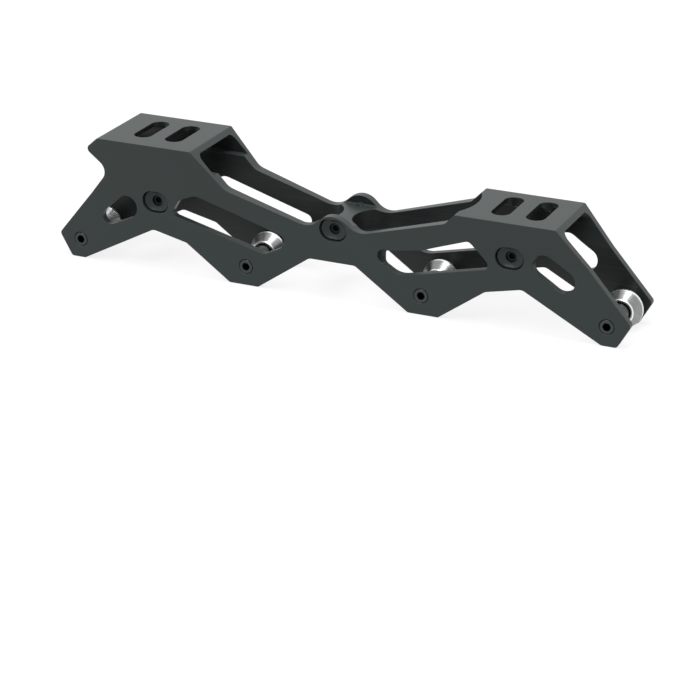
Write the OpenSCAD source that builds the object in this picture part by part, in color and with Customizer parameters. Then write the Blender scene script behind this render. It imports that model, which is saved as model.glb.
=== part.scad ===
// Inline skate frame: one milled aluminium channel, four axles with loose bearing spacers,
// and two cross bars held by socket screws in oval flanged bushes.
// Millimetres. +X to the toe, +Y to the axle heads, Z up from the feet of the legs.

/* [Axles] */
// Distance from one axle to the next
axle_pitch = 81; // [78:0.5:86]
// Height of the axle line above the feet
axle_z = 8.3; // [7.5:0.1:9.5]
// Shank diameter
axle_d = 8; // [7:0.1:9]
// Diameter of the threaded end
thread_d = 6; // [5:0.1:6.5]
// Radial running clearance of the axle in its holes and of the spacer on the axle
run_fit = 0.05; // [0.03:0.01:0.09]
// Head diameter
head_d = 11.4; // [10.5:0.1:13]
// Head height
head_h = 2.2; // [1.8:0.1:2.6]
// Hex socket in the head, across flats
head_hex = 4; // [3:0.5:5]
// Depth of the hex socket in the head
head_hex_depth = 3; // [2:0.1:5]
// Hex socket in the threaded end, across flats
end_hex = 3; // [2.5:0.1:3.4]
// Depth of the hex socket in the threaded end
end_hex_depth = 5; // [2:0.1:7]
// Gap left between pieces that move past or against each other
move_gap = 0.3; // [0.25:0.05:0.4]
// Bevel round the mouth of each axle hole
hole_bevel = 0.45; // [0.2:0.05:0.6]

/* [Bearing spacers] */
// Length over both faces
spacer_len = 10.3; // [8:0.1:12]
// Diameter of the ridge round the middle
spacer_ridge_d = 16.4; // [15:0.1:18]
// Width of the ridge
spacer_ridge_w = 1.1; // [0.8:0.1:1.6]
// Diameter of the end faces
spacer_face_d = 10.6; // [10.2:0.1:11.6]
// Bevel at the mouths of the bore
spacer_bevel = 0.6; // [0.4:0.05:0.8]

/* [Channel] */
// Clear width between the walls
channel_w = 24.6; // [24:0.1:27]
// Wall thickness below the shoulders
wall = 3.2; // [2.8:0.1:4]
// Height where the outside of the walls starts to lean out
lean_z = 31.3; // [28:0.1:34]
// Lean of the upper walls on each side, in degrees
lean_angle = 8.8; // [7.5:0.1:9.5]
// Thickness of both decks
deck = 2; // [1.6:0.1:3]
// Height of the ledge inside the walls below the rear deck
ledge_z = 47.5; // [46.5:0.1:49]
// Width of that ledge
ledge_w = 3.6; // [2.4:0.1:4]
// Radius inside the corners between deck and wall
inner_r = 2.8; // [2:0.1:3.4]
// Radius of the main corners of the outline
edge_r = 0.8; // [0.4:0.1:1.2]

/* [Decks and slots] */
// Distance from the rear pair of slots to the front pair
mount_spacing = 165; // [160:0.5:170]
// How far the pairs of slots sit behind the middle of the axles
mount_back = 3.2; // [1:0.1:5]
// Distance between the two slots of a pair
slot_pitch = 15; // [13:0.1:17]
// Width of each slot
slot_w = 8.3; // [6.5:0.1:9]
// Length of each slot across the frame
slot_len = 23; // [18:0.5:25]
// How far the slots sit from the middle towards the axle heads
slot_side = 1; // [0:0.1:2]
// Height of the rear deck above the feet
rear_deck_z = 57.7; // [56:0.1:60]
// Height of the front deck above the feet
front_deck_z = 47.1; // [45.5:0.1:49]
// Rear deck, from the middle of its slots to its back edge
rear_deck_back = 23.2; // [21:0.1:25]
// Rear deck, from the middle of its slots to its front edge
rear_deck_front = 21.6; // [20:0.1:24]
// Front deck, from the middle of its slots to its back edge
front_deck_back = 23.5; // [22:0.1:25]
// Front deck, from the middle of its slots to its front edge
front_deck_front = 20; // [18.5:0.1:22]
// Depth of the hollow in the back edge of the front deck
deck_hollow = 3.2; // [2:0.1:5]
// Radius of that hollow
deck_hollow_r = 26; // [20:1:40]
// Reach of the nose behind the rear deck
nose_reach = 6.3; // [4:0.1:8]
// Drop of the nose below the rear deck
nose_drop = 5.5; // [5:0.1:7]
// Radius of the nose
nose_r = 2.2; // [1.5:0.1:2.8]

/* [Legs] */
// From an end axle out to the tip of its leg
tip_reach = 10.3; // [9:0.1:12]
// Height of the tips
tip_z = 10.1; // [9:0.1:12]
// Radius of the tips
tip_r = 2; // [1:0.1:2.6]
// End legs: foot, from the axle outwards
end_foot_out = 4.6; // [3.5:0.1:5.5]
// End legs: foot, from the axle inwards
end_foot_in = 2; // [1:0.1:3]
// Middle legs: foot, from the axle outwards
mid_foot_out = 7.8; // [6.5:0.1:9]
// Middle legs: foot, from the axle inwards
mid_foot_in = 5.8; // [4.5:0.1:7]
// Radius at the corners of the feet
foot_r = 1.6; // [0.8:0.1:2.2]
// Gap under the bridge: half its flat top
arch_half = 10.5; // [8:0.1:13]
// Gap under the bridge: height
arch_z = 16.9; // [15.5:0.1:18]
// Gaps between end and middle legs: distance of the peak outside the mid point of the two axles
notch_out = 3.9; // [2:0.1:6]
// Gaps between end and middle legs: height of the peak
notch_z = 18.4; // [17.5:0.1:19.5]
// Knee of the middle legs, from the axle outwards
knee_out = 28.4; // [26:0.1:31]
// Height of that knee
knee_z = 14.8; // [14:0.1:16]
// Radius in the gaps between the legs
gap_r = 3.6; // [2:0.1:5]

/* [Upper edge] */
// Hollow behind the rear deck: distance ahead of the deck's back edge
hollow_in = 3.9; // [2:0.1:6]
// Hollow behind the rear deck: height
hollow_z = 43.1; // [41:0.1:45]
// Hollow behind the rear deck: radius
hollow_r = 5.5; // [4:0.1:7]
// Fall in front of the rear deck: distance ahead of the deck
fall_out = 14.8; // [13:0.1:16.5]
// Fall in front of the rear deck: height
fall_z = 42.2; // [41:0.1:43.5]
// Fall in front of the rear deck: radius
fall_r = 8; // [4:0.5:12]
// Middle of the bridge, ahead of the middle of the axles
bridge_x = 0.5; // [-1:0.1:2]
// Height where the two flanks of the hump would meet
hump_z = 40.3; // [39.8:0.1:41.2]
// Radius of the hump
hump_r = 8.5; // [7:0.1:9.2]
// Dip behind the hump: distance
dip_back = 10.6; // [10:0.1:11.6]
// Dip behind the hump: height
dip_back_z = 30.6; // [30:0.1:31.6]
// Dip ahead of the hump: distance
dip_front = 11; // [10:0.1:11.6]
// Dip ahead of the hump: height
dip_front_z = 30.8; // [30:0.1:31.6]
// Radius of the dips
dip_r = 9; // [6:0.1:9.6]
// Shoulder behind the front deck: distance
shoulder_back = 4.6; // [3.5:0.1:6]
// Shoulder behind the front deck: height
shoulder_z = 42.3; // [41.5:0.1:43.5]
// Shoulder behind the front deck: radius
shoulder_r = 3; // [1.5:0.1:3.6]

/* [Bridge web] */
// Thickness of the web at its waist
web_t = 6; // [5:0.1:7.4]
// Height of the underside
web_z = 24.3; // [23:0.1:25]
// Height of the flat saddle on its top
saddle_z = 33.3; // [32:0.1:34]
// Width of the saddle between the humps
saddle_w = 25.4; // [22:0.1:25.8]
// Radius where the saddle turns up into the humps
saddle_r = 0.8; // [0.4:0.1:1.5]

/* [Wall windows] */
// Rear window: back end, behind the second axle
rear_win_back = 35.7; // [34:0.1:36.5]
// Rear window: height of the back end
rear_win_back_z = 26.7; // [25:0.1:28]
// Rear window: upper back corner, behind the second axle
rear_win_hip = 31.6; // [30:0.1:33]
// Rear window: height of the upper back corner
rear_win_hip_z = 33.7; // [32.5:0.1:35]
// Rear window: peak, behind the second axle
rear_win_peak = 23.3; // [20:0.1:26]
// Rear window: height of the peak
rear_win_peak_z = 37.2; // [36:0.1:38.5]
// Rear window: front end, ahead of the second axle
rear_win_front = 20.2; // [18.5:0.1:21.5]
// Rear window: height of the front end
rear_win_front_z = 24.1; // [23.4:0.1:25]
// Rear window: lower front corner, ahead of the second axle
rear_win_step = 16.6; // [15.6:0.1:17.4]
// Rear window: height of the lower front corner
rear_win_step_z = 19.2; // [18.6:0.1:19.8]
// Rear window: lowest corner, ahead of the second axle
rear_win_low = 9; // [7:0.1:11]
// Rear window: height of the lowest corner
rear_win_low_z = 15.4; // [15:0.1:17]
// Front window: back end, behind the third axle
front_win_back = 17.1; // [16:0.1:18.4]
// Front window: height of the back end
front_win_back_z = 25.8; // [25.4:0.1:27]
// Front window: height of the blunt back edge
front_win_blunt = 5.8; // [5:0.1:6.4]
// Front window: height of the upper edge over the third axle
front_win_brow_z = 28.5; // [28:0.1:30]
// Front window: lowest corner, behind the third axle
front_win_low = 9.9; // [8.5:0.1:11]
// Front window: height of the lowest corner
front_win_low_z = 15.7; // [15.5:0.1:17]
// Front window: front end, ahead of the third axle
front_win_front = 31.5; // [30:0.1:32.5]
// Front window: height of the front end
front_win_front_z = 25.3; // [24:0.1:26.5]
// Front window: peak, ahead of the third axle
front_win_peak = 21; // [19:0.1:23]
// Front window: height of the peak
front_win_peak_z = 36.1; // [35:0.1:37.5]
// Radius of the sharper window corners
win_r = 2.3; // [1.5:0.1:2.6]
// Radius of the wide window corners
win_wide_r = 4.6; // [3:0.1:5]
// Radius of the blunt back corners of the front window
win_tight_r = 2.6; // [1.5:0.1:2.8]
// Radius of the front end of the rear window
win_end_r = 3; // [2:0.1:3.2]
// Radius of the long bends in the edges of the front window
win_brow_r = 9; // [6:0.5:12]
// Rear hole: lower end, ahead of the first axle
rear_hole_low = 15.2; // [14:0.1:17]
// Rear hole: height of the lower end
rear_hole_low_z = 21.3; // [20.5:0.1:22.5]
// Rear hole: radius of the lower end
rear_hole_low_r = 3.6; // [3:0.1:4.2]
// Rear hole: upper end, ahead of the first axle
rear_hole_high = 23.7; // [22:0.1:24.5]
// Rear hole: height of the upper end
rear_hole_high_z = 26.8; // [26:0.1:28]
// Rear hole: radius of the upper end
rear_hole_high_r = 5.2; // [4.5:0.1:5.6]
// Front slot: upper end, behind the last axle
front_hole_high = 27.4; // [25.5:0.1:28]
// Front slot: height of the upper end
front_hole_high_z = 30.1; // [29:0.1:31]
// Front slot: lower end, behind the last axle
front_hole_low = 18.9; // [17:0.1:20]
// Front slot: height of the lower end
front_hole_low_z = 24.7; // [24:0.1:26]
// Front slot: radius of both ends
front_hole_r = 4.9; // [4:0.1:5.4]
// Round pocket behind the front window: centre, behind the third axle
pocket_back = 16.6; // [15.5:0.1:17.5]
// Round pocket: height of the centre
pocket_z = 23.3; // [22.5:0.1:24]
// Round pocket: radius
pocket_r = 3.1; // [2.5:0.1:3.5]
// Round pocket: depth from the outside of the wall
pocket_depth = 2.2; // [1:0.1:2.6]

/* [Cross bars] */
// Rear bar, behind the mid point of the first two axles
rear_bar_back = 2.5; // [1.5:0.1:3]
// Front bar, behind the mid point of the last two axles
front_bar_back = 1.8; // [0.5:0.1:3]
// Height of the bars and their recesses
bar_z = 31.2; // [30.7:0.1:31.6]
// Diameter of the bars
bar_d = 7; // [5:0.1:8]
// Oval recess: length
oval_len = 12.5; // [11:0.1:13]
// Oval recess: height
oval_h = 9.9; // [9:0.1:10.4]
// Oval recess: depth from the outside of the wall
oval_depth = 2.1; // [1.6:0.1:2.3]
// Thickness of the oval flanges of the bushes
bush_t = 1.1; // [0.7:0.1:1.5]
// Diameter of the round stems of the bushes at the bars
bush_d = 6.2; // [5.8:0.1:6.8]
// Floor of the bushes under the screw heads
bush_floor = 1.6; // [1:0.1:2.2]
// Clearance round the bushes
bush_gap = 0.12; // [0.05:0.01:0.25]
// Rim of the bridge round its screw heads
boss_rim = 0.5; // [0.4:0.1:0.8]
// Diameter of the screws
screw_d = 2.5; // [2:0.1:3]
// Space left between the tips of two facing screws
tip_gap = 1.8; // [1:0.1:4]
// Diameter of the screw heads
screw_head_d = 4.5; // [4:0.1:5]
// Height of the screw heads
screw_head_h = 2; // [1.6:0.1:2.4]
// Depth of the screw heads below the outside of the wall
head_sink = 2.7; // [2:0.1:3.2]
// Radial gap round the screw heads
head_gap = 0.2; // [0.15:0.01:0.3]
// Hex socket of the screws, across flats
screw_hex = 2; // [1.5:0.1:2.5]
// Depth of that socket
screw_hex_depth = 1.5; // [0.8:0.1:1.6]
// Radial clearance of the screws in their holes
screw_fit = 0.05; // [0.02:0.01:0.2]

/* [Hidden] */
$fn = 64;

anodised = [0.22, 0.24, 0.24];
bright = [0.80, 0.81, 0.82];
steel = [0.45, 0.46, 0.47];
black = [0.12, 0.12, 0.12];

// overshoot of cuts and angle step of drawn rounds
over = 2;
round_step = 5;

axle_x = [for (i = [-1.5 : 1 : 1.5]) i * axle_pitch];
half_channel = channel_w / 2;
half_out = half_channel + wall;
rear_mount = -mount_spacing / 2 - mount_back;
front_mount = mount_spacing / 2 - mount_back;
rear_back_x = rear_mount - rear_deck_back;
rear_front_x = rear_mount + rear_deck_front;
front_back_x = front_mount - front_deck_back;
front_front_x = front_mount + front_deck_front;
bar_x = [-axle_pitch - rear_bar_back, bridge_x, axle_pitch - front_bar_back];
seat = head_sink + screw_head_h;
bush_reach = seat + bush_floor;
screw_len = half_out - seat - tip_gap / 2;
half_len = axle_x[3] + tip_reach;
top_half = half_out + (rear_deck_z - lean_z) * tan(lean_angle);

// corner i of the list p = [x, y, radius] as an arc tangent to both of its edges
function unit(v) = v / norm(v);
function corner(a, b, c) =
    let (u = unit([a[0] - b[0], a[1] - b[1]]), v = unit([c[0] - b[0], c[1] - b[1]]))
    let (half = acos(u * v) / 2, m = unit(u + v), r = b[2])
    let (o = [b[0], b[1]] + m * r / sin(half))
    let (s = [b[0], b[1]] + u * r / tan(half) - o, sweep = 180 - 2 * half)
    let (way = u[0] * v[1] - u[1] * v[0] > 0 ? -1 : 1, n = ceil(sweep / round_step))
    r == 0 ? [[b[0], b[1]]] :
    [for (k = [0 : n]) let (t = way * sweep * k / n)
        o + [s[0] * cos(t) - s[1] * sin(t), s[0] * sin(t) + s[1] * cos(t)]];
function rounded(p) = let (n = len(p))
    [for (i = [0 : n - 1]) each corner(p[(i + n - 1) % n], p[i], p[(i + 1) % n])];
// points of an arc round [x, z] from angle a to angle b
function arc(x, z, r, a, b) = let (n = ceil((b - a) / round_step))
    [for (k = [0 : n]) let (t = a + (b - a) * k / n) [x + r * cos(t), z + r * sin(t)]];

// lower edge of one half, from the bridge out to the tip, for the toe (1) or the heel (-1)
function leg_edge(s) = [
    [s * arch_half, arch_z, gap_r],
    [s * (axle_pitch / 2 - mid_foot_in), 0, foot_r],
    [s * (axle_pitch / 2 + mid_foot_out), 0, foot_r],
    [s * (axle_pitch / 2 + knee_out), knee_z, gap_r],
    [s * (axle_pitch + notch_out), notch_z, gap_r],
    [s * (axle_pitch * 1.5 - end_foot_in), 0, foot_r],
    [s * (axle_pitch * 1.5 + end_foot_out), 0, foot_r],
    [s * half_len, tip_z, tip_r]];
function flip(p) = [for (i = [len(p) - 1 : -1 : 0]) p[i]];
upper_edge = [
    [front_front_x, front_deck_z, edge_r],
    [front_back_x, front_deck_z, edge_r],
    [front_back_x - shoulder_back, shoulder_z, shoulder_r],
    [bridge_x + dip_front, dip_front_z, dip_r],
    [bridge_x, hump_z, hump_r],
    [bridge_x - dip_back, dip_back_z, dip_r],
    [rear_front_x + fall_out, fall_z, fall_r],
    [rear_front_x, rear_deck_z, edge_r],
    [rear_back_x, rear_deck_z, edge_r],
    [rear_back_x - nose_reach, rear_deck_z - nose_drop, nose_r],
    [rear_back_x + hollow_in, hollow_z, hollow_r]];
side_outline = concat(leg_edge(1), upper_edge, flip(leg_edge(-1)));
rear_window = [
    [axle_x[1] - rear_win_back, rear_win_back_z, win_r],
    [axle_x[1] - rear_win_hip, rear_win_hip_z, win_wide_r],
    [axle_x[1] - rear_win_peak, rear_win_peak_z, win_wide_r],
    [axle_x[1] + rear_win_front, rear_win_front_z, win_end_r],
    [axle_x[1] + rear_win_step, rear_win_step_z, win_end_r],
    [axle_x[1] + rear_win_low, rear_win_low_z, win_wide_r]];
front_window = [
    [axle_x[2] - front_win_back, front_win_back_z, win_tight_r],
    [axle_x[2] - front_win_back, front_win_back_z - front_win_blunt, win_tight_r],
    [axle_x[2] - front_win_low, front_win_low_z, win_brow_r],
    [axle_x[2] + front_win_front, front_win_front_z, win_r],
    [axle_x[2] + front_win_peak, front_win_peak_z, win_r],
    [axle_x[2], front_win_brow_z, win_brow_r]];

// a drawing in X and Z pushed through the width w
module through(w) {
    rotate([90, 0, 0])
        linear_extrude(height = w, center = true)
            children();
}

// a drawing in Y and Z pushed along X from a to b
module along(a, b) {
    translate([a, 0, 0])
        rotate([90, 0, 90])
            linear_extrude(height = b - a)
                children();
}

// prism with round ends along X, standing on z = 0
module obround(length, width, height) {
    half = (length - width) / 2;
    translate([-half, -width / 2, 0])
        cube([half * 2, width, height]);
    for (s = [-1, 1])
        translate([s * half, 0, 0])
            cylinder(d = width, h = height);
}

// pear-shaped hole through both walls, a radius at each end joined by their common tangents
module pear_hole(x1, z1, r1, x2, z2, r2) {
    turn = atan2(z2 - z1, x2 - x1);
    open = acos((r1 - r2) / norm([x2 - x1, z2 - z1]));
    through(top_half * 2 + over)
        polygon(concat(
            arc(x1, z1, r1, turn + open, turn + 360 - open),
            arc(x2, z2, r2, turn - open, turn + open)));
}

// slot with round ends through both walls, from one centre to the other
module wall_slot(x1, z1, x2, z2, r) {
    translate([(x1 + x2) / 2, top_half + over, (z1 + z2) / 2])
        rotate([90, 0, 0])
            rotate([0, 0, atan2(z2 - z1, x2 - x1)])
                obround(norm([x2 - x1, z2 - z1]) + r * 2, r * 2, (top_half + over) * 2);
}

// space between the walls from the bridge to one end, round at the bridge
module bay(s, top) {
    end = web_t / 2 + half_channel;
    translate([bridge_x + s * end, 0, -over])
        cylinder(r = half_channel, h = top + over);
    translate([s > 0 ? bridge_x + end : -half_len - over, -half_channel, -over])
        cube([half_len + over - s * bridge_x - end, channel_w, top + over]);
}

// wider room under a deck with round upper corners
module deck_room(a, b, half, low, top) {
    along(a, b)
        polygon(rounded([[-half, low, 0], [half, low, 0], [half, top, inner_r], [-half, top, inner_r]]));
}

// room whose sides lean out as the outside of the walls does, so the walls keep their thickness
module lean_room(a, b, top) {
    half = half_channel + (top - lean_z) * tan(lean_angle);
    along(a, b)
        polygon(rounded([[-half_channel, axle_z, 0], [half_channel, axle_z, 0], [half_channel, lean_z, 0],
            [half, top, inner_r], [-half, top, inner_r], [-half_channel, lean_z, 0]]));
}

// place children at a wall recess, with z into the wall from outside
module at_recess(i, s) {
    translate([bar_x[i], s * half_out, bar_z])
        rotate([s * 90, 0, 0])
            children();
}

module blank() {
    intersection() {
        through(top_half * 2 + over)
            polygon(rounded(side_outline));
        along(-half_len - over, half_len + over)
            polygon([[-half_out, -over], [half_out, -over], [half_out, lean_z], [top_half, rear_deck_z],
                [top_half, rear_deck_z + over], [-top_half, rear_deck_z + over], [-top_half, rear_deck_z],
                [-half_out, lean_z]]);
    }
}

// low bosses of the bridge over its screw heads
module bosses() {
    for (s = [-1, 1])
        at_recess(1, s)
            translate([0, 0, oval_depth])
                cylinder(d = screw_head_d + (head_gap + boss_rim) * 2, h = seat + boss_rim - oval_depth);
}

module slots(mount, z) {
    for (s = [-1, 1])
        translate([mount + s * slot_pitch / 2, slot_side, z - deck - over])
            rotate([0, 0, 90])
                obround(slot_len, slot_w, deck + over * 2);
}

module axle_holes() {
    for (x = axle_x) {
        translate([x, 0, axle_z])
            rotate([-90, 0, 0])
                cylinder(d = axle_d + run_fit * 2, h = half_out + over);
        translate([x, 0, axle_z])
            rotate([90, 0, 0])
                cylinder(d = thread_d + run_fit * 2, h = half_out + over);
        for (s = [-1, 1])
            translate([x, s * half_out, axle_z])
                rotate([s * 90, 0, 0])
                    translate([0, 0, -0.01])
                        cylinder(d1 = (s < 0 ? thread_d : axle_d) + (run_fit + hole_bevel) * 2,
                            d2 = (s < 0 ? thread_d : axle_d) + run_fit * 2, h = hole_bevel + 0.01);
    }
}

module recesses() {
    for (i = [0 : 2], s = [-1, 1])
        at_recess(i, s) {
            translate([0, 0, -over * 2])
                obround(oval_len, oval_h, oval_depth + over * 2);
            cylinder(d = i == 1 ? screw_head_d + head_gap * 2 : bush_d + bush_gap * 2,
                h = i == 1 ? seat : bush_reach);
            cylinder(d = screw_d + screw_fit * 2, h = half_out + over);
        }
}

module chassis() {
    color(anodised)
        difference() {
            union() {
                difference() {
                    blank();
                    bay(-1, ledge_z + over / 4);
                    bay(1, shoulder_z - deck);
                    deck_room(-half_len - over, rear_front_x + fall_out * 2, half_channel + ledge_w,
                        ledge_z, rear_deck_z - deck);
                    deck_room(front_back_x - over * 4, half_len + over, half_channel,
                        axle_z, front_deck_z - deck);
                    lean_room(bar_x[2] + oval_len / 2 + boss_rim * 2, half_len + over, front_deck_z - deck);
                    translate([bridge_x - web_t / 2 - half_channel, -half_channel, -over])
                        cube([web_t + channel_w, channel_w, web_z + over]);
                    intersection() {
                        translate([front_back_x + deck_hollow - deck_hollow_r, 0, axle_z])
                            cylinder(r = deck_hollow_r, h = rear_deck_z);
                        translate([front_back_x - deck_hollow_r, -half_channel, axle_z])
                            cube([deck_hollow_r * 2, channel_w, rear_deck_z]);
                        translate([bridge_x + web_t / 2 + half_channel, -half_channel, axle_z])
                            cube([half_len, channel_w, rear_deck_z]);
                    }
                    through(top_half * 2 + over)
                        polygon(rounded(rear_window));
                    through(top_half * 2 + over)
                        polygon(rounded(front_window));
                    pear_hole(axle_x[0] + rear_hole_low, rear_hole_low_z, rear_hole_low_r,
                        axle_x[0] + rear_hole_high, rear_hole_high_z, rear_hole_high_r);
                    wall_slot(axle_x[3] - front_hole_high, front_hole_high_z,
                        axle_x[3] - front_hole_low, front_hole_low_z, front_hole_r);
                    slots(rear_mount, rear_deck_z);
                    slots(front_mount, front_deck_z);
                    along(bridge_x - dip_back, bridge_x + dip_front)
                        polygon(rounded([[-saddle_w / 2, saddle_z, saddle_r], [saddle_w / 2, saddle_z, saddle_r],
                            [saddle_w / 2, rear_deck_z, 0], [-saddle_w / 2, rear_deck_z, 0]]));
                    for (s = [-1, 1])
                        translate([axle_x[2] - pocket_back, s * half_out, pocket_z])
                            rotate([s * 90, 0, 0])
                                translate([0, 0, -over])
                                    cylinder(r = pocket_r, h = pocket_depth + over);
                }
                bosses();
            }
            recesses();
            axle_holes();
        }
}

// axle i, head on the +Y side
module axle(i) {
    shank = channel_w - move_gap + wall;
    color(steel)
        translate([axle_x[i], half_out + move_gap, axle_z])
            rotate([90, 0, 0])
                difference() {
                    union() {
                        translate([0, 0, -head_h])
                            cylinder(d1 = head_d - head_h, d2 = head_d, h = head_h);
                        cylinder(d = axle_d, h = shank + move_gap);
                        cylinder(d = thread_d, h = half_out * 2 + move_gap - hole_bevel);
                        translate([0, 0, half_out * 2 + move_gap - hole_bevel])
                            cylinder(d1 = thread_d, d2 = thread_d - hole_bevel, h = hole_bevel);
                    }
                    translate([0, 0, -head_h - over])
                        cylinder(d = head_hex / cos(30), h = head_hex_depth + over, $fn = 6);
                    translate([0, 0, half_out * 2 + move_gap - end_hex_depth])
                        cylinder(d = end_hex / cos(30), h = end_hex_depth + over, $fn = 6);
                }
}

// bearing spacer i, pushed along its axle to the wall on the head side
module spacer(i) {
    bore = axle_d / 2 + run_fit;
    face = spacer_face_d / 2;
    ridge = spacer_ridge_d / 2;
    half = spacer_len / 2;
    color(bright)
        translate([axle_x[i], half_channel - move_gap - half, axle_z])
            rotate([90, 0, 0])
                rotate_extrude()
                    polygon([[bore, half - spacer_bevel], [bore + spacer_bevel, half], [face, half],
                        [ridge, spacer_ridge_w / 2], [ridge, -spacer_ridge_w / 2],
                        [face, -half], [bore + spacer_bevel, -half], [bore, spacer_bevel - half]]);
}

// cross bar between the two bushes of recess i, tapped right through
module cross_bar(i) {
    length = (half_out - bush_reach) * 2;
    color(anodised)
        translate([bar_x[i], length / 2, bar_z])
            rotate([90, 0, 0])
                difference() {
                    cylinder(d = bar_d, h = length);
                    translate([0, 0, -over])
                        cylinder(d = screw_d + screw_fit * 2, h = length + over * 2);
                }
}

// bush in recess i, its flange in the oval and its stem against the bar; at the bridge it has no stem
module oval_bush(i, s) {
    color(anodised)
        at_recess(i, s)
            difference() {
                union() {
                    translate([0, 0, oval_depth - bush_t])
                        obround(oval_len - bush_gap * 2, oval_h - bush_gap * 2, bush_t);
                    if (i != 1)
                        translate([0, 0, oval_depth - bush_t / 2])
                            cylinder(d = bush_d, h = bush_reach - oval_depth + bush_t / 2);
                }
                translate([0, 0, -over])
                    cylinder(d = screw_head_d + head_gap * 2, h = seat + over);
                cylinder(d = screw_d + screw_fit * 2, h = bush_reach + over);
            }
}

// socket screw in the bush of recess i
module screw(i, s) {
    color(black)
        at_recess(i, s)
            translate([0, 0, seat])
                difference() {
                    union() {
                        translate([0, 0, -screw_head_h])
                            cylinder(d = screw_head_d, h = screw_head_h);
                        cylinder(d = screw_d, h = screw_len);
                    }
                    translate([0, 0, -screw_head_h - over])
                        cylinder(d = screw_hex / cos(30), h = screw_hex_depth + over, $fn = 6);
                }
}

module axle_rear() { axle(0); }
module axle_mid_rear() { axle(1); }
module axle_mid_front() { axle(2); }
module axle_front() { axle(3); }
module spacer_rear() { spacer(0); }
module spacer_mid_rear() { spacer(1); }
module spacer_mid_front() { spacer(2); }
module spacer_front() { spacer(3); }
module cross_bar_rear() { cross_bar(0); }
module cross_bar_front() { cross_bar(2); }
module oval_bush_rear_left() { oval_bush(0, 1); }
module oval_bush_rear_right() { oval_bush(0, -1); }
module oval_bush_mid_left() { oval_bush(1, 1); }
module oval_bush_mid_right() { oval_bush(1, -1); }
module oval_bush_front_left() { oval_bush(2, 1); }
module oval_bush_front_right() { oval_bush(2, -1); }
module screw_rear_left() { screw(0, 1); }
module screw_rear_right() { screw(0, -1); }
module screw_mid_left() { screw(1, 1); }
module screw_mid_right() { screw(1, -1); }
module screw_front_left() { screw(2, 1); }
module screw_front_right() { screw(2, -1); }

chassis();
axle_rear();
axle_mid_rear();
axle_mid_front();
axle_front();
spacer_rear();
spacer_mid_rear();
spacer_mid_front();
spacer_front();
cross_bar_rear();
cross_bar_front();
oval_bush_rear_left();
oval_bush_rear_right();
oval_bush_mid_left();
oval_bush_mid_right();
oval_bush_front_left();
oval_bush_front_right();
screw_rear_left();
screw_rear_right();
screw_mid_left();
screw_mid_right();
screw_front_left();
screw_front_right();
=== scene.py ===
import math

import bpy
import numpy as np
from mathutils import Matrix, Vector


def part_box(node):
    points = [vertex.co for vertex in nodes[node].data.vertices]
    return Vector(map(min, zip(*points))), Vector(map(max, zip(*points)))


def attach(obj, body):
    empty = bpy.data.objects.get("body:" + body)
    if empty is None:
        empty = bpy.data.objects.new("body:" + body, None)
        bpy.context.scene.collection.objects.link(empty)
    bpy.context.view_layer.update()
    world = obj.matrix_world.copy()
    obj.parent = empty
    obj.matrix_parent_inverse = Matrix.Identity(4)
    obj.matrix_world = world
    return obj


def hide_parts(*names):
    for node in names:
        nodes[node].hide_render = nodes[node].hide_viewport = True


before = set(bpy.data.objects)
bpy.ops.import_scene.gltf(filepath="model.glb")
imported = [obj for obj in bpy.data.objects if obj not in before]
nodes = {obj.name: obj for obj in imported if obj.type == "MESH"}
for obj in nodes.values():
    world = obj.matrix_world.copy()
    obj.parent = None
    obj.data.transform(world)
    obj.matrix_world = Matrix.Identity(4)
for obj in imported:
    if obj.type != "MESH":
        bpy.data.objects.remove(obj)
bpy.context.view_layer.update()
mm = 0.001
samePoint = 0.0001 * mm  # points closer than this are one
noiseMiddle = 0.5  # noise swings about this value
print("frame loaded,", len(nodes), "nodes")


class Wire:
    # one shader socket: operators add Math nodes, node() adds any other kind
    def __init__(self, tree, socket=None):
        self.tree = tree
        self.socket = socket

    def node(self, kind, settings=None, values=None, out=0):
        made = self.tree.nodes.new(kind)
        for key, value in (settings or {}).items():
            setattr(made, key, value)
        for key, value in (values or {}).items():
            if isinstance(value, Wire):
                self.tree.links.new(value.socket, made.inputs[key])
            else:
                made.inputs[key].default_value = value
        return Wire(self.tree, made.outputs[out])

    def maths(self, operation, a, b=0.0):
        return self.node("ShaderNodeMath", {"operation": operation}, {0: a, 1: b})

    def mix(self, factor, a, b):  # two colours
        return self.node("ShaderNodeMix", {"data_type": "RGBA"}, {0: factor, 6: a, 7: b}, out=2)

    def part(self, vector, axis):
        return self.node("ShaderNodeSeparateXYZ", {}, {"Vector": vector}, out=axis)

    def marked(self, attribute):
        return self.node("ShaderNodeAttribute", {"attribute_name": attribute}, out="Fac")

    def noise(self, where, size, detail=2.0, stretch=(1, 1, 1)):
        # noise whose lumps are about size metres across, longer where stretch is above 1
        squeezed = self.node(
            "ShaderNodeMapping", {"vector_type": "POINT"},
            {"Vector": where, "Scale": tuple(1 / s for s in stretch)})
        return self.node(
            "ShaderNodeTexNoise", {}, {"Vector": squeezed, "Scale": 1 / size, "Detail": detail})

    def __add__(self, other):
        return self.maths("ADD", self, other)

    def __radd__(self, other):
        return self.maths("ADD", other, self)

    def __sub__(self, other):
        return self.maths("SUBTRACT", self, other)

    def __rsub__(self, other):
        return self.maths("SUBTRACT", other, self)

    def __mul__(self, other):
        return self.maths("MULTIPLY", self, other)

    def __rmul__(self, other):
        return self.maths("MULTIPLY", other, self)


def rgba(colour):
    return (*colour, 1)


def newMaterial(name, build):
    material = bpy.data.materials.new(name)
    material.use_nodes = True
    tree = material.node_tree
    tree.nodes.clear()
    output = tree.nodes.new("ShaderNodeOutputMaterial")
    tree.links.new(build(Wire(tree)).socket, output.inputs["Surface"])
    return material


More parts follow.
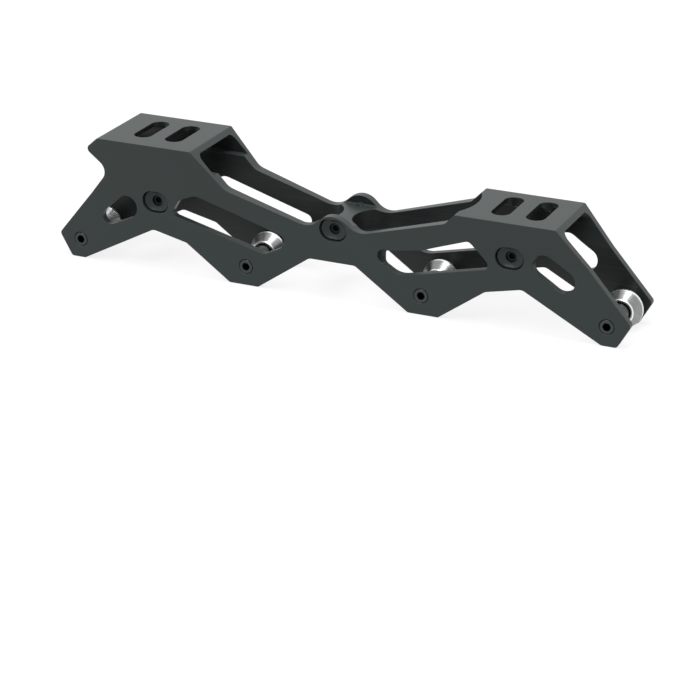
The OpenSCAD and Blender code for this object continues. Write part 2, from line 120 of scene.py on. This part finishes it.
anodisedLook = {
    "dark": (0.0268, 0.0382, 0.0366),
    "pale": (0.0350, 0.0480, 0.0460),
    "worn": (0.070, 0.078, 0.076),  # edges, where the dye is thin
    "paintedRimShade": (0.006, 0.008, 0.008),  # painted shade: the shade in the gap round the edges of the oval bushes
    "specular": 0.36,
    "roughness": 0.40,
    "roughnessSpread": 0.10,
    "cloudSize": 24 * mm,
    "grainSize": 0.35 * mm,
    "grainDepth": 0.012 * mm,
    "grainStrength": 0.25,
    "drawnSize": 0.5 * mm,
    "drawnLength": 40,  # how much longer than wide the drawing lines are
    "drawnInDye": 0.3,  # share of the lines, the rest is cloud
    "drawnInGloss": 0.6,
    "drawnInGrain": 0.5,  # height of the lines against the grain
    "edgeBreak": 0.45 * mm,  # radius that softens the sharp edges
    "edgeSamples": 6,
    "edgeWear": 0.5,
    "wearGain": 6,  # how soon the rubbing sets in as an edge turns
    "wearGrain": 0.6,
    "wearGloss": 0.08,  # how much smoother a rubbed edge is
    "inward": 0.5,  # faces looking at least this much to the middle get painted shade and cutter lines
    "inside": 12.35 * mm,  # so are upright faces closer to the middle than this
    "upright": 0.35,  # most that such a face leans
    "paintedInsideShade": 0.64,  # painted shade: how far the inner faces go towards black, for the shade inside the channel
    "cutterSize": 1.1 * mm,
    "cutterShine": 0.16,
    "cutterLines": (0.52, 0.75),  # the part of the noise that shows as lines
}
bushLook = dict(
    anodisedLook, dark=(0.0165, 0.0285, 0.0280), pale=(0.0215, 0.0360, 0.0350),
    specular=0.32, edgeBreak=0.15 * mm, edgeWear=0.2)


def anodisedMetal(look):
    # dyed satin anodising: soft clouds in the dye, fine etched grain, faint drawing lines along the
    # frame, inner faces painted darker as shade with paler cutter lines, painted shade at the rims of
    # the oval bushes, edges broken by a small radius and rubbed unevenly
    def build(wire):
        where = wire.node("ShaderNodeTexCoord", out="Object")
        lines = (look["drawnLength"], 1, 1)
        cloud = wire.noise(where, look["cloudSize"], 3)
        grain = wire.noise(where, look["grainSize"], 2)
        drawn = wire.noise(where, look["drawnSize"], 2, lines)
        swirl = wire.noise(where, look["cutterSize"], 3, lines)
        low, high = look["cutterLines"]
        swirl = wire.node("ShaderNodeMapRange", {}, {"Value": swirl, "From Min": low, "From Max": high})

        rounded = wire.node(
            "ShaderNodeBevel", {"samples": look["edgeSamples"]}, {"Radius": look["edgeBreak"]})
        flat = wire.node("ShaderNodeNewGeometry", out="Normal")
        turned = 1 - wire.node(
            "ShaderNodeVectorMath", {"operation": "DOT_PRODUCT"}, {0: rounded, 1: flat}, out="Value")
        rub = turned * look["wearGain"] * (cloud + grain * look["wearGrain"])
        wear = wire.maths("MINIMUM", rub, 1) * look["edgeWear"]

        across, facing, rising = wire.part(where, "Y"), wire.part(flat, "Y"), wire.part(flat, "Z")
        inward = wire.maths("LESS_THAN", wire.maths("SIGN", across) * facing, -look["inward"])
        between = wire.maths("LESS_THAN", wire.maths("ABSOLUTE", across), look["inside"])
        upright = wire.maths("LESS_THAN", wire.maths("ABSOLUTE", rising), look["upright"])
        shadedAndMilled = wire.maths("MAXIMUM", inward, between * upright)

        tint = cloud * (1 - look["drawnInDye"]) + drawn * look["drawnInDye"]
        dyeAndShade = wire.mix(tint, rgba(look["dark"]), rgba(look["pale"]))
        # painted shade: the inner faces go darker for the shade inside the channel
        dyeAndShade = wire.mix(shadedAndMilled * look["paintedInsideShade"], dyeAndShade, rgba((0, 0, 0)))
        dyeAndShade = wire.mix(shadedAndMilled * swirl * look["cutterShine"], dyeAndShade, rgba(look["worn"]))
        colour = wire.mix(wear, dyeAndShade, rgba(look["worn"]))
        # painted shade at the rims of the oval bushes, which carry the socket mark
        colour = wire.mix(wire.marked("socket"), colour, rgba(look["paintedRimShade"]))

        gloss = drawn * look["drawnInGloss"] + cloud * (1 - look["drawnInGloss"]) - noiseMiddle
        rough = look["roughness"] + gloss * look["roughnessSpread"] - wear * look["wearGloss"]
        bump = wire.node("ShaderNodeBump", {}, {
            "Strength": look["grainStrength"], "Distance": look["grainDepth"],
            "Height": grain + drawn * look["drawnInGrain"], "Normal": rounded})
        return wire.node("ShaderNodeBsdfPrincipled", {}, {
            "Base Color": colour, "Specular IOR Level": look["specular"],
            "Roughness": rough, "Normal": bump})
    return build


def turnedMetal(look):
    # lathe marks run round the piece: noise over the length of the profile, which is the second UV
    # coordinate, with smudges over it
    def build(wire):
        uv = wire.node("ShaderNodeUVMap", {"uv_map": "turned"})
        where = wire.node("ShaderNodeTexCoord", out="Object")
        marks = wire.noise(uv, look["markWidth"], 2, (look["markLength"], 1, 1))
        smudge = wire.noise(where, look["smudgeSize"], 3)
        tint = smudge * (1 - look["markShare"]) + marks * look["markShare"]
        colour = wire.mix(tint, rgba(look["dark"]), rgba(look["pale"]))
        if "plated" in look:  # bare in the middle of its length along Y, plated dark towards both ends
            off = wire.maths("ABSOLUTE", wire.part(where, "Y") - look["bareMiddle"])
            ends = wire.node("ShaderNodeMapRange", {"interpolation_type": "SMOOTHSTEP"}, {
                "Value": off, "From Min": look["bareHalf"],
                "From Max": look["bareHalf"] + look["plateFade"]})
            plate = wire.mix(smudge, rgba(look["plated"]), rgba(look["platedPale"]))
            colour = wire.mix(ends, colour, plate)
        # painted highlight: ridge and face rims go pale as bright rings, partly real burnish at the
        # faces
        colour = wire.mix(wire.marked("burnishAndHighlight"), colour, rgba(look["burnishAndHighlight"]))
        # painted shade: rows marked as sockets go near black for the shade in the key holes
        colour = wire.mix(wire.marked("socket"), colour, rgba(look["socket"]))
        rough = look["roughness"] + (smudge - noiseMiddle) * look["roughnessSpread"]
        bump = wire.node("ShaderNodeBump", {}, {
            "Strength": look["markStrength"], "Distance": look["markDepth"], "Height": marks})
        return wire.node("ShaderNodeBsdfPrincipled", {}, {
            "Base Color": colour, "Metallic": 1.0, "Roughness": rough, "Normal": bump})
    return build


brightLook = {
    "dark": (0.12, 0.125, 0.125),
    "pale": (0.44, 0.445, 0.445),
    "burnishAndHighlight": (0.90, 0.91, 0.91),  # painted highlight on ridge and face rims, partly real burnish where faces rub the bearings
    "socket": (0.006, 0.006, 0.006),  # painted shade: the key holes are coloured near black for the shade in them
    "roughness": 0.31,
    "roughnessSpread": 0.08,
    "markWidth": 0.6 * mm,
    "markLength": 4000,
    "markShare": 0.5,  # of the lathe marks in the colour, the rest is smudges
    "markStrength": 0.04,
    "markDepth": 0.006 * mm,
    "smudgeSize": 2 * mm,
}
axleLook = dict(
    brightLook, dark=(0.060, 0.062, 0.062), pale=(0.110, 0.112, 0.112), roughness=0.32,
    plated=(0.050, 0.056, 0.056), platedPale=(0.068, 0.074, 0.074),
    bareMiddle=1.6 * mm, bareHalf=13.7 * mm, plateFade=0.2 * mm)
blackLook = dict(
    brightLook, dark=(0.013, 0.016, 0.016), pale=(0.022, 0.026, 0.026), roughness=0.42,
    markStrength=0.15)

anodised = newMaterial("darkAnodised", anodisedMetal(anodisedLook))
bushDye = newMaterial("bushAnodised", anodisedMetal(bushLook))
bright = newMaterial("brightTurned", turnedMetal(brightLook))
steel = newMaterial("platedSteel", turnedMetal(axleLook))
black = newMaterial("blackSteel", turnedMetal(blackLook))
print("materials made")


def filleted(corners, closed, steps=5):
    # corners are (radius, place along the axis, fillet, section); each fillet is the arc tangent to
    # both sides of its corner, swept between its two tangent points as seen from the arc's centre
    straight, tiny = 0.9999, 1e-12  # keep the arc of a straight corner finite
    table = np.array(corners, float)
    point, fillet = table[:, :2], table[:, 2]
    toward = np.roll(point, 1, 0) - point
    onward = np.roll(point, -1, 0) - point
    toward /= np.linalg.norm(toward, axis=1)[:, None]
    onward /= np.linalg.norm(onward, axis=1)[:, None]
    if not closed:
        fillet[[0, -1]] = 0
    half = np.arccos(np.clip((toward * onward).sum(1), -straight, straight)) / 2
    middle = toward + onward
    middle /= np.linalg.norm(middle, axis=1)[:, None] + tiny
    centre = point + middle * (fillet / np.sin(half))[:, None]
    first = point + toward * (fillet / np.tan(half))[:, None] - centre
    last = point + onward * (fillet / np.tan(half))[:, None] - centre
    sweep = (math.pi - 2 * half)[:, None]
    share = np.linspace(0, 1, steps)[None, :]
    ease = np.sin((1 - share) * sweep) / np.sin(sweep), np.sin(share * sweep) / np.sin(sweep)
    arcs = centre[:, None] + ease[0][..., None] * first[:, None] + ease[1][..., None] * last[:, None]
    rows = np.concatenate([arcs, np.repeat(table[:, None, 3:4], steps, 1)], 2).reshape(-1, 3)
    step = np.linalg.norm(np.diff(rows[:, :2], axis=0), axis=1)
    return rows[np.concatenate([[True], step > samePoint])]


def alongProfile(rows):
    # length of the profile from its first row to each row
    return np.concatenate([[0], np.cumsum(np.linalg.norm(np.diff(rows[:, :2], axis=0), axis=1))])


def denser(rows, low, high, step):
    # extra rows, step apart, where the profile runs from low to high along the axis
    length = alongProfile(rows)
    fine = np.arange(length[0], length[-1], step)
    along = np.interp(fine, length, rows[:, 1])
    places = np.union1d(length, fine[(along > low) & (along < high)])
    kept = np.searchsorted(length, places, side="right") - 1
    radius, along = [np.interp(places, length, rows[:, column]) for column in (0, 1)]
    return np.stack([radius, along, rows[kept, 2]], 1)


def roundSection(radius, angle):
    return radius + 0 * angle


def hexSection(radius, angle):
    # radius is half the width across flats
    return radius / np.cos(np.mod(angle, math.pi / 3) - math.pi / 6)


def turnedPiece(name, rows, centre, material, closed, columns=96, thread=None):
    # surface of two parameters: rows follow the profile, columns go round the axis, which lies along
    # Y; a row's section (0 round, 1 hex socket painted dark as shade, 2 round with a painted
    # highlight) turns its radius and the angle into the true radius, and a thread takes a helical
    # triangle wave off the radius
    angle = np.linspace(0, 2 * math.pi, columns, endpoint=False)[None, :]
    kind = rows[:, 2].astype(int)[:, None]
    sections = (roundSection, hexSection, roundSection)
    radius = np.choose(kind, [section(rows[:, :1], angle) for section in sections])
    along = rows[:, 1:2] + 0 * angle
    if thread:
        turns = along / thread["pitch"] + angle / (2 * math.pi)
        wave = np.abs(np.mod(turns, 1) * 2 - 1)
        fade = np.clip((along - thread["low"]) / thread["fade"], 0, 1)
        fade = fade * np.clip((thread["high"] - along) / thread["fade"], 0, 1) * (kind == 0)
        fade = fade * (np.abs(rows[:, :1] - thread["radius"]) < thread["depth"])
        radius = radius - thread["depth"] * wave * fade
    grid = np.stack([centre[0] + radius * np.cos(angle), along, centre[1] + radius * np.sin(angle)], 2)
    return gridPiece(name, grid, rows, material, closed)


def gridPiece(name, grid, rows, material, closed):
    # quads between neighbouring rows and columns; an open profile ends in a pole at each end
    smoothUpTo = 38  # degrees between faces, past which an edge stays sharp
    count, columns = grid.shape[:2]
    points = grid.reshape(-1, 3)
    length = alongProfile(rows)
    if closed:
        lower, upper = np.arange(count), np.roll(np.arange(count), -1)
    else:
        lower, upper = np.arange(count - 1), np.arange(1, count)
    index = np.arange(count * columns).reshape(count, columns)
    nextOne = np.roll(index, -1, 1)
    faces = np.stack([index[lower], nextOne[lower], nextOne[upper], index[upper]], 2).reshape(-1, 4)
    u = np.broadcast_to(np.arange(columns) / columns, (len(lower), columns))
    v = np.stack([length[lower], length[lower], length[upper], length[upper]], 1)
    v[:, 2:] = np.where(v[:, 2:] < v[:, :1], length[-1], v[:, 2:])
    uv = np.stack([
        np.stack([u, u + 1 / columns, u + 1 / columns, u], 2),
        np.broadcast_to(v[:, None, :], (len(lower), columns, 4))], 3).reshape(-1, 2)
    corner = points[faces]
    volume = np.einsum("ij,ij->i", corner[:, 0], np.cross(corner[:, 1], corner[:, 2])).sum()
    volume += np.einsum("ij,ij->i", corner[:, 0], np.cross(corner[:, 2], corner[:, 3])).sum()
    if volume < 0:  # turn the faces outwards
        faces = faces[:, ::-1]
        uv = uv.reshape(-1, 4, 2)[:, ::-1].reshape(-1, 2)
    mesh = bpy.data.meshes.new(name)
    mesh.from_pydata(points.tolist(), [], faces.tolist())
    layer = mesh.uv_layers.new(name="turned")
    layer.data.foreach_set("uv", uv.astype(np.float32).ravel())
    for kind, finish in ((1, "socket"), (2, "burnishAndHighlight")):
        marked = mesh.attributes.new(finish, "FLOAT", "POINT")
        marked.data.foreach_set("value", np.repeat(rows[:, 2] == kind, columns).astype(np.float32))
    piece = bpy.data.objects.new(name, mesh)
    bpy.context.scene.collection.objects.link(piece)
    weld = piece.modifiers.new("closePoles", "WELD")
    weld.merge_threshold = samePoint
    mesh.shade_smooth()
    mesh.set_sharp_from_angle(angle=math.radians(smoothUpTo))
    mesh.materials.append(material)
    return piece


def middleOf(node):
    low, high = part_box(node)
    return (low.x + high.x) / 2, (low.z + high.z) / 2


nodes["chassis"].data.materials.clear()  # this solid is shown as it is
nodes["chassis"].data.materials.append(anodised)
print("chassis dressed")

axleSizes = {
    "shank": 8 * mm,
    "shoulder": (0.3 * mm, 0.4 * mm),  # bevel: across, along
    "shoulderRounds": (0.1 * mm, 0.2 * mm),
    "thread": 6 * mm,
    "threadLength": 3.4 * mm,
    "threadStart": 0.3 * mm,
    "threadFade": 0.5 * mm,
    "threadDepth": 0.32 * mm,
    "threadRows": 12,  # in one turn
    "pitch": 0.75 * mm,
    "neckRound": 0.15 * mm,
    "endBevel": 0.15 * mm,
    "endRound": 0.05 * mm,
    "endHex": 3 * mm,
    "endHexDepth": 5 * mm,
    "endPoint": 0.4 * mm,  # cone at the bottom of the socket
    "endMouth": (0.45 * mm, 0.15 * mm),  # bevel: across, along
    "head": 11.4 * mm,
    "headHeight": 2.2 * mm,
    "headSide": (0.15 * mm, 0.9 * mm),  # the steep part: across, along
    "headSlope": 1.1 * mm,  # from the widest place to the flat top
    "headRounds": (0.2 * mm, 0.25 * mm, 0.4 * mm, 0.6 * mm),  # from the shank to the top
    "headHex": 4 * mm,
    "headHexDepth": 3 * mm,
    "headPoint": 0.5 * mm,
    "headMouth": (0.75 * mm, 0.35 * mm),
    "headMouthRound": 0.1 * mm,
}


def axleRows(low, high):
    # from the pole in the end socket, out round the threaded end and shank, over the head to its own
    # socket
    size = axleSizes
    seat = high - size["headHeight"]
    step = low + size["threadLength"]
    shank, thread, head = size["shank"] / 2, size["thread"] / 2, size["head"] / 2
    endHex, headHex = size["endHex"] / 2, size["headHex"] / 2
    endFloor, headFloor = low + size["endHexDepth"], high - size["headHexDepth"]
    endMouth, headMouth, side = size["endMouth"], size["headMouth"], size["headSide"]
    shoulder, shoulderRounds = size["shoulder"], size["shoulderRounds"]
    underHead, seatEdge, sideEdge, topEdge = size["headRounds"]
    corners = [
        (0, endFloor + size["endPoint"], 0, 1),
        (endHex, endFloor, 0, 1),
        (endHex, low + endMouth[1], 0, 1),
        (endHex + endMouth[0], low, 0, 0),
        (thread - size["endBevel"], low, size["endRound"], 0),
        (thread, low + size["endBevel"], size["endRound"], 0),
        (thread, step, size["neckRound"], 0),
        (shank - shoulder[0], step, shoulderRounds[0], 0),
        (shank, step + shoulder[1], shoulderRounds[1], 0),
        (shank, seat, underHead, 0),
        (head, seat, seatEdge, 0),
        (head - side[0], seat + side[1], sideEdge, 0),
        (head - size["headSlope"], high, topEdge, 0),
        (headHex + headMouth[0], high, size["headMouthRound"], 0),
        (headHex, high - headMouth[1], 0, 1),
        (headHex, headFloor, 0, 1),
        (0, headFloor - size["headPoint"], 0, 1),
    ]
    rows = filleted(corners, closed=False)
    return denser(rows, low + size["threadStart"], step, size["pitch"] / size["threadRows"])


def makeAxle(end):
    size = axleSizes
    node = "axle_" + end
    low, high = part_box(node)
    thread = {
        "pitch": size["pitch"], "depth": size["threadDepth"], "radius": size["thread"] / 2,
        "low": low.y + size["threadStart"], "high": low.y + size["threadLength"],
        "fade": size["threadFade"]}
    rows = axleRows(low.y, high.y)
    piece = turnedPiece("axle." + end, rows, middleOf(node), steel, False, thread=thread)
    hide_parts(node)
    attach(piece, node)


spacerSizes = {
    "ridgeWidth": 1.1 * mm,
    "face": 10.6 * mm,
    "bore": 8.1 * mm,
    "boreBevel": 0.6 * mm,
    "rim": 0.35 * mm,  # rounding of the face's edge
    "soften": 0.15 * mm,
    "plainCone": (0.12, 0.94),  # part of the way from face to ridge without painted highlight and burnish
    "rowStep": 0.25 * mm,
    "columns": 128,
}


def makeSpacer(end):
    # double cone: face, cone, ridge, cone, face, and back through the bore
    size = spacerSizes
    node = "spacer_" + end
    low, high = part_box(node)
    middle, ridge = (low.y + high.y) / 2, (high.x - low.x) / 2
    face, bore, soft = size["face"] / 2, size["bore"] / 2, size["soften"]
    flank = size["ridgeWidth"] / 2
    half = (high.y - low.y) / 2
    near, far = [
        (face + (ridge - face) * share, half - (half - flank) * share) for share in size["plainCone"]]
    corners = [
        (bore, middle - half + size["boreBevel"], soft, 0),
        (bore + size["boreBevel"], middle - half, soft / 2, 2),
        (face, middle - half, size["rim"], 2),
        (near[0], middle - near[1], 0, 0),
        (far[0], middle - far[1], 0, 0),
        (ridge, middle - flank, soft, 2),
        (ridge, middle + flank, soft, 2),
        (far[0], middle + far[1], 0, 0),
        (near[0], middle + near[1], 0, 0),
        (face, middle + half, size["rim"], 2),
        (bore + size["boreBevel"], middle + half, soft / 2, 2),
        (bore, middle + half - size["boreBevel"], soft, 0),
    ]
    rows = denser(filleted(corners, closed=True), low.y, high.y, size["rowStep"])
    piece = turnedPiece("spacer." + end, rows, middleOf(node), bright, True, columns=size["columns"])
    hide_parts(node)
    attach(piece, node)


for end in ("rear", "mid_rear", "mid_front", "front"):
    makeAxle(end)
    makeSpacer(end)
print("axles and spacers made")

bushSizes = {
    "flange": 1.1 * mm,
    "stem": 6.2 * mm,
    "headRoom": 4.9 * mm,  # bore for the screw head
    "seat": 3.7 * mm,  # depth of the head's seat under the face
    "hole": 2.6 * mm,
    "rim": 0.6 * mm,  # round the edge, then the dish goes down to the head
    "dish": 0.95 * mm,
    "break": 0.4 * mm,
    "breakMiddle": (0.4, 0.3),  # where it bends: shares in from the side and down from the face
    "columns": 120,
    "dishRows": 9,
}


def makeBush(place, side, sign):
    # oval flange dished to the screw head, with a round stem where a bar is behind it; every row is a
    # mix of an obround, which is a circle pulled apart along X, and a circle, by the row's share of
    # the circle
    size = bushSizes
    node = "oval_bush_" + place + "_" + side
    low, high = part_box(node)
    face, inner = (high.y, low.y) if sign > 0 else (low.y, high.y)
    across = (high.z - low.z) / 2
    pull = (high.x - low.x) / 2 - across
    deep = abs(face - inner)
    headRoom, hole, stem = size["headRoom"] / 2, size["hole"] / 2, size["stem"] / 2
    seat, flange, edge = size["seat"], size["flange"], size["break"]
    bend = np.linspace(0, 1, size["dishRows"])[:, None]
    dish = np.concatenate([  # share, radius, depth: a quarter wave from the head up to the rim
        1 - bend,
        headRoom + (across - size["rim"] - headRoom) * bend,
        size["dish"] * np.cos(bend * math.pi / 2)], 1)
    inFrom, downFrom = size["breakMiddle"]
    rim = [
        (0, across - edge, 0),
        (0, across - edge * inFrom, edge * downFrom),
        (0, across, edge),
        (0, across, flange),
    ]
    if deep > seat:
        start = [(1, hole, deep), (1, hole, seat), (1, headRoom, seat)]
        back = [(1, stem, flange), (1, stem, deep)]
    else:
        start, back = [(1, headRoom, deep)], []
    table = np.array(start + dish.tolist() + rim + back)
    share, radius, depth = table[:, :1], table[:, 1:2], table[:, 2:3]
    angle = (np.arange(size["columns"]) + 0.5)[None, :] * 2 * math.pi / size["columns"]
    centre = middleOf(node)
    x = centre[0] + radius * np.cos(angle) + (1 - share) * pull * np.sign(np.cos(angle))
    grid = np.stack([x, face - sign * depth + 0 * angle, centre[1] + radius * np.sin(angle)], 2)
    # the rim is marked as a socket is, and painted dark there as the shade in the gap
    shadedRim = (share == 0) & (radius > across - size["rim"] - samePoint)
    rows = np.concatenate([radius, depth, shadedRim], 1)
    piece = gridPiece("ovalBush." + place + "." + side, grid, rows, bushDye, True)
    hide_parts(node)
    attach(piece, "frame")


barSizes = {"bore": 2.6 * mm, "bevel": 0.4 * mm, "soften": 0.1 * mm, "columns": 64}


def makeBar(end):
    # tube with bevelled ends
    node = "cross_bar_" + end
    low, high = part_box(node)
    outer, inner = (high.x - low.x) / 2, barSizes["bore"] / 2
    bevel, soft = barSizes["bevel"], barSizes["soften"]
    corners = [
        (inner, low.y + bevel, 0, 0),
        (inner + bevel, low.y, 0, 0),
        (outer - bevel, low.y, soft, 0),
        (outer, low.y + bevel, soft, 0),
        (outer, high.y - bevel, soft, 0),
        (outer - bevel, high.y, soft, 0),
        (inner + bevel, high.y, 0, 0),
        (inner, high.y - bevel, 0, 0),
    ]
    rows = filleted(corners, closed=True)
    piece = turnedPiece(
        "crossBar." + end, rows, middleOf(node), anodised, True, columns=barSizes["columns"])
    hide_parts(node)
    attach(piece, "frame")


screwSizes = {
    "head": 4.5 * mm,
    "headHeight": 2 * mm,
    "headBevel": 0.1 * mm,
    "headRounds": (0.1 * mm, 0.25 * mm, 0.2 * mm),  # seat, side and top
    "shank": 2.5 * mm,
    "neckRound": 0.1 * mm,
    "tipBevel": (0.3 * mm, 0.4 * mm),  # across, along
    "pitch": 0.45 * mm,
    "threadDepth": 0.18 * mm,
    "threadFade": 0.5 * mm,
    "threadRows": 8,  # in one turn
    "hex": 2 * mm,
    "hexDepth": 1.5 * mm,
    "hexPoint": 0.3 * mm,  # cone at the bottom of the socket
    "mouth": 0.5 * mm,  # bevel round the socket
    "mouthRound": 0.05 * mm,
    "darkMouth": (0.3 * mm, 0.05 * mm),  # where it turns into the socket and the painted shade begins: across, along
    "mouthDepth": 0.3 * mm,
    "columns": 60,
}


def makeScrew(place, side, sign):
    # cap screw with a hex socket, from the pole of its tip to the pole in the socket; sign is 1 where
    # its head looks to +Y
    size = screwSizes
    node = "screw_" + place + "_" + side
    low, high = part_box(node)
    top, tip = (high.y, low.y) if sign > 0 else (low.y, high.y)
    seat = top - sign * size["headHeight"]
    head, shank, hexHalf = size["head"] / 2, size["shank"] / 2, size["hex"] / 2
    tipBevel, darkMouth, bevel = size["tipBevel"], size["darkMouth"], size["headBevel"]
    seatEdge, sideEdge, topEdge = size["headRounds"]
    corners = [
        (0, tip, 0, 0),
        (shank - tipBevel[0], tip, 0, 0),
        (shank, tip + sign * tipBevel[1], 0, 0),
        (shank, seat, size["neckRound"], 0),
        (head, seat, seatEdge, 0),
        (head, top - sign * bevel, sideEdge, 0),
        (head - bevel, top, topEdge, 0),
        (hexHalf + size["mouth"], top, size["mouthRound"], 0),
        (hexHalf + darkMouth[0], top - sign * darkMouth[1], 0, 1),
        (hexHalf, top - sign * size["mouthDepth"], 0, 1),
        (hexHalf, top - sign * size["hexDepth"], 0, 1),
        (0, top - sign * (size["hexDepth"] + size["hexPoint"]), 0, 1),
    ]
    start, end = min(tip, seat), max(tip, seat)
    rows = denser(filleted(corners, closed=False), start, end, size["pitch"] / size["threadRows"])
    thread = {
        "pitch": size["pitch"], "depth": size["threadDepth"], "radius": shank,
        "low": start, "high": end, "fade": size["threadFade"]}
    piece = turnedPiece(
        "screw." + place + "." + side, rows, middleOf(node), black, False,
        columns=size["columns"], thread=thread)
    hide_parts(node)
    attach(piece, "frame")


for end in ("rear", "front"):
    makeBar(end)
for place in ("rear", "mid", "front"):
    for side, sign in (("left", 1), ("right", -1)):
        makeBush(place, side, sign)
        makeScrew(place, side, sign)
print("bars, bushes and screws made")

photoCamera = {
    "imageWidth": 700,  # pixels
    "focal": 2422.88,  # pixels
    "place": (396.71 * mm, -875.95 * mm, 386.98 * mm),
    "yaw": 24.290,  # degrees
    "pitch": 23.412,
    "sensor": 36,  # millimetres
    "clip": (0.05, 50),
}


def makeCamera():
    data = bpy.data.cameras.new("camera")
    data.sensor_width = photoCamera["sensor"]
    data.lens = photoCamera["focal"] / photoCamera["imageWidth"] * data.sensor_width
    data.clip_start, data.clip_end = photoCamera["clip"]
    camera = bpy.data.objects.new("camera", data)
    camera.location = photoCamera["place"]
    camera.rotation_euler = (
        math.radians(90 - photoCamera["pitch"]), 0, math.radians(photoCamera["yaw"]))
    bpy.context.scene.collection.objects.link(camera)
    bpy.context.scene.camera = camera


studio = {
    "floorSize": 6.0,
    "floorDrop": 0.2 * mm,  # keeps the floor clear of the feet
    "floorWhite": (0.24, 0.24, 0.24),
    "floorGlow": 0.82,
    "ambient": 0.45,
    "aim": (0, 0, 0.03),  # the softboxes look here
    "softboxes": {  # name: place, size, power in watts
        "keyBox": ((-0.15, -0.75, 1.05), 0.7, 5.2),
        "topBox": ((0.22, -0.08, 1.20), 0.5, 5.2),
        "heelBox": ((-1.1, -0.5, 0.7), 0.6, 1.0),
    },
}
white = (1, 1, 1, 1)


def seenRays(wire):
    # 1 for what the eye meets: straight from the camera, mirrored, or through something clear
    kinds = ("Is Camera Ray", "Is Glossy Ray", "Is Transmission Ray")
    straight, mirrored, through = [wire.node("ShaderNodeLightPath", out=kind) for kind in kinds]
    return wire.maths("MAXIMUM", wire.maths("MAXIMUM", straight, mirrored), through)


def floorSurface(wire):
    # white paper that glows to the camera and in reflections, and still takes the shadow
    glow = seenRays(wire) * studio["floorGlow"]
    paper = wire.node("ShaderNodeBsdfDiffuse", {}, {"Color": rgba(studio["floorWhite"])})
    glowing = wire.node("ShaderNodeEmission", {}, {"Color": white, "Strength": glow})
    return wire.node("ShaderNodeAddShader", {}, {0: paper, 1: glowing})


def makeFloor():
    half = studio["floorSize"] / 2
    corners = [(-half, -half, 0), (half, -half, 0), (half, half, 0), (-half, half, 0)]
    mesh = bpy.data.meshes.new("floor")
    mesh.from_pydata(corners, [], [(0, 1, 2, 3)])
    mesh.materials.append(newMaterial("floorPaper", floorSurface))
    floor = bpy.data.objects.new("floor", mesh)
    floor.location.z = -studio["floorDrop"]
    bpy.context.scene.collection.objects.link(floor)


def makeSky():
    # white where it is seen, dimmer where it lights the frame
    world = bpy.data.worlds.new("studio")
    world.use_nodes = True
    world.node_tree.nodes.clear()
    wire = Wire(world.node_tree)
    seen = seenRays(wire)
    strength = seen + (1 - seen) * studio["ambient"]
    sky = wire.node("ShaderNodeBackground", {}, {"Color": white, "Strength": strength})
    output = wire.tree.nodes.new("ShaderNodeOutputWorld")
    wire.tree.links.new(sky.socket, output.inputs["Surface"])
    bpy.context.scene.world = world


def makeSoftboxes():
    for name, (place, size, power) in studio["softboxes"].items():
        lamp = bpy.data.lights.new(name, "AREA")
        lamp.shape = "SQUARE"
        lamp.size = size
        lamp.energy = power
        box = bpy.data.objects.new(name, lamp)
        box.location = place
        toObject = np.array(studio["aim"]) - np.array(place)
        tilt = math.acos(-toObject[2] / np.linalg.norm(toObject))
        box.rotation_euler = (tilt, 0, math.atan2(-toObject[0], toObject[1]))
        bpy.context.scene.collection.objects.link(box)


bpy.context.scene.view_settings.view_transform = "Standard"
makeCamera()
makeFloor()
makeSky()
makeSoftboxes()
print("camera and studio set")
